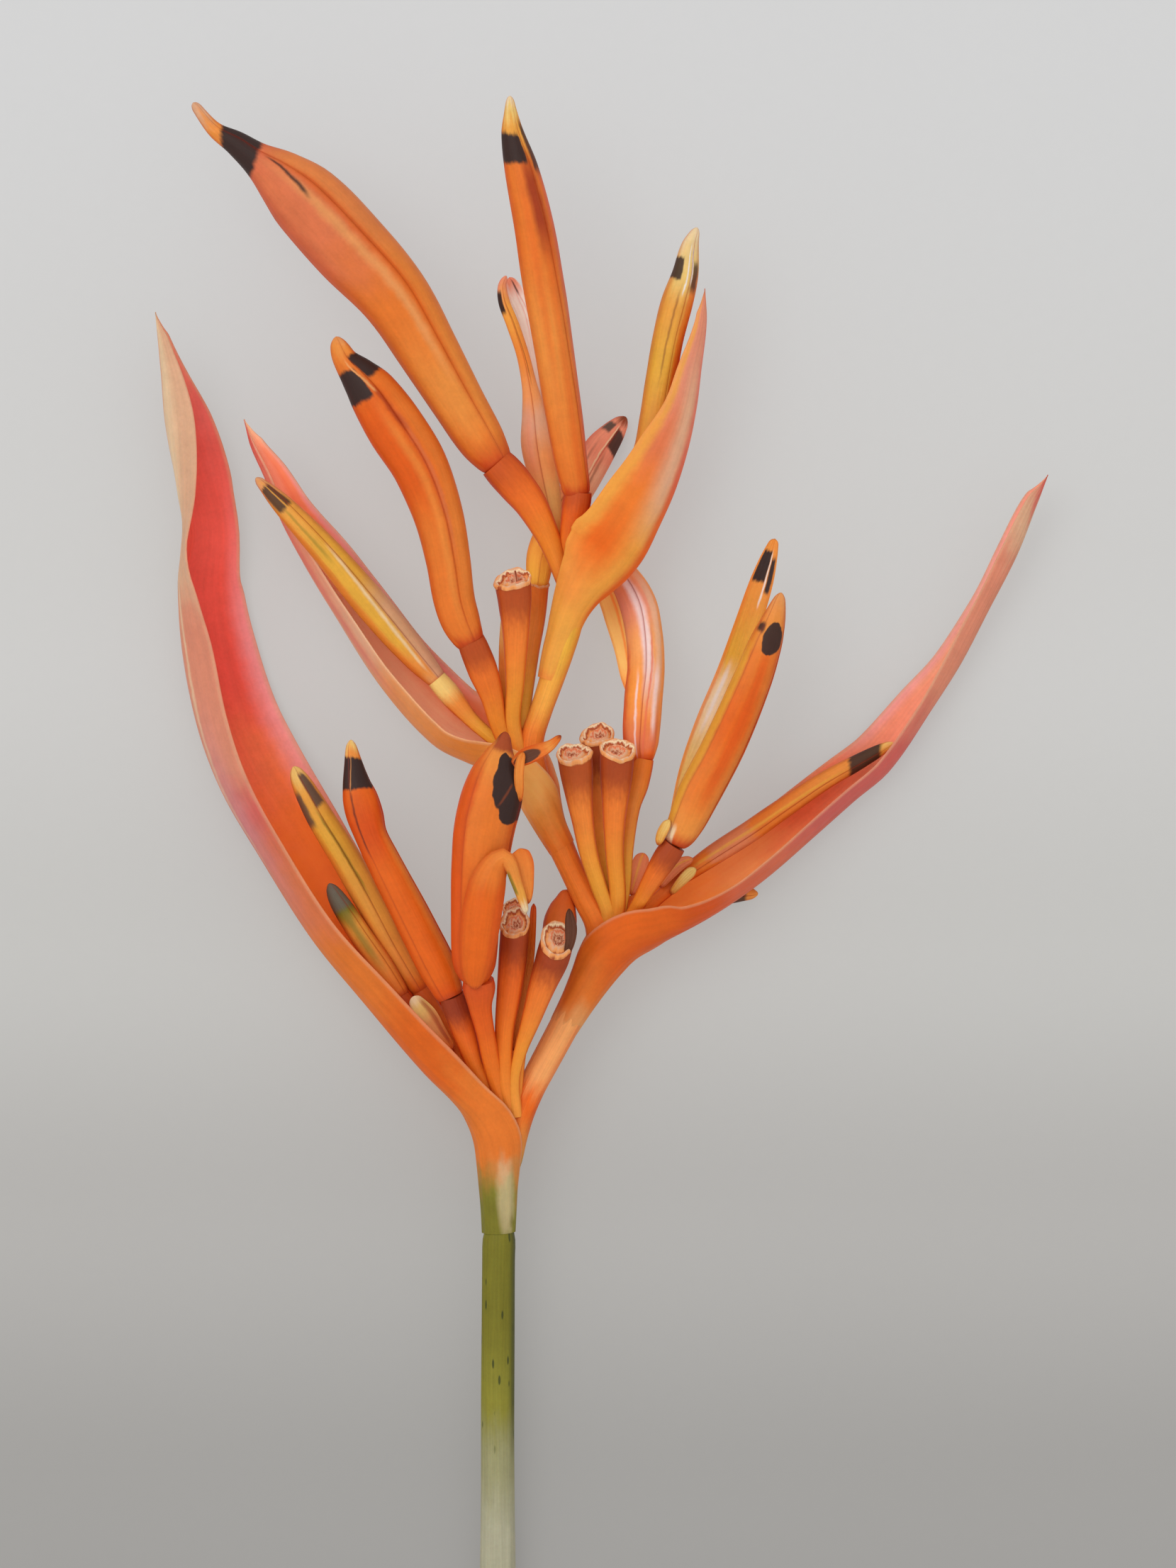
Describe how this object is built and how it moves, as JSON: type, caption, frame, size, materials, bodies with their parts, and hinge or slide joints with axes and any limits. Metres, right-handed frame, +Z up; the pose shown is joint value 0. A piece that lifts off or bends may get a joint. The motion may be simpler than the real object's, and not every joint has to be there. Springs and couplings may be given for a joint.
{
  "type": "heliconia flower",
  "caption": "Cut heliconia flower head lying flat: a zigzag stem with boat shaped bracts that hold slender tubular flowers, buds and old flower stalks.",
  "frame": {"origin": "centre of the bounding box, at the table that the flower lies on", "axes": "+Y from the cut end of the stem to the tip, +Z up from the table, +X to the right seen from above with the tip away"},
  "size_m": [0.0909, 0.153, 0.0191],
  "materials": {
    "stem_green": "fresh stem, satin",
    "petal_orange": "waxy petal, satin",
    "petal_yellow": "waxy petal, satin",
    "petal_salmon": "drying petal, satin",
    "petal_rust": "withered petal, dull",
    "petal_cream": "pale petal, satin",
    "bract_pink": "waxy bract, satin",
    "bract_salmon": "waxy bract, satin"
  },
  "bodies": {
    "root": {"stem": "stem_green", "stalks_lower": "petal_orange", "stalks_right": "petal_orange", "stalks_left": "petal_yellow", "stalks_top": "petal_orange", "bract_lower_left": "bract_pink", "bract_right": "bract_pink", "bract_left": "bract_salmon", "bract_upper_right": "bract_salmon", "flower_upper_left": "petal_orange", "flower_top": "petal_orange", "flower_yellow": "petal_yellow", "flower_withered": "petal_rust", "flower_slender": "petal_cream", "flower_left": "petal_orange", "flower_right": "petal_orange", "flower_arched": "petal_salmon", "flower_lower_left": "petal_orange", "flower_open": "petal_orange", "bud_right": "petal_orange", "bud_left": "petal_yellow", "bud_nub": "petal_rust", "bud_yellow": "petal_yellow", "bud_small": "petal_rust", "sepal_slender": "petal_cream", "sepal_right": "petal_yellow", "sepal_arched": "petal_orange", "sepal_curled": "petal_orange", "sepal_tongue": "petal_orange", "scale_lower": "petal_cream", "scale_thin": "petal_rust"}
  },
  "joints": []
}
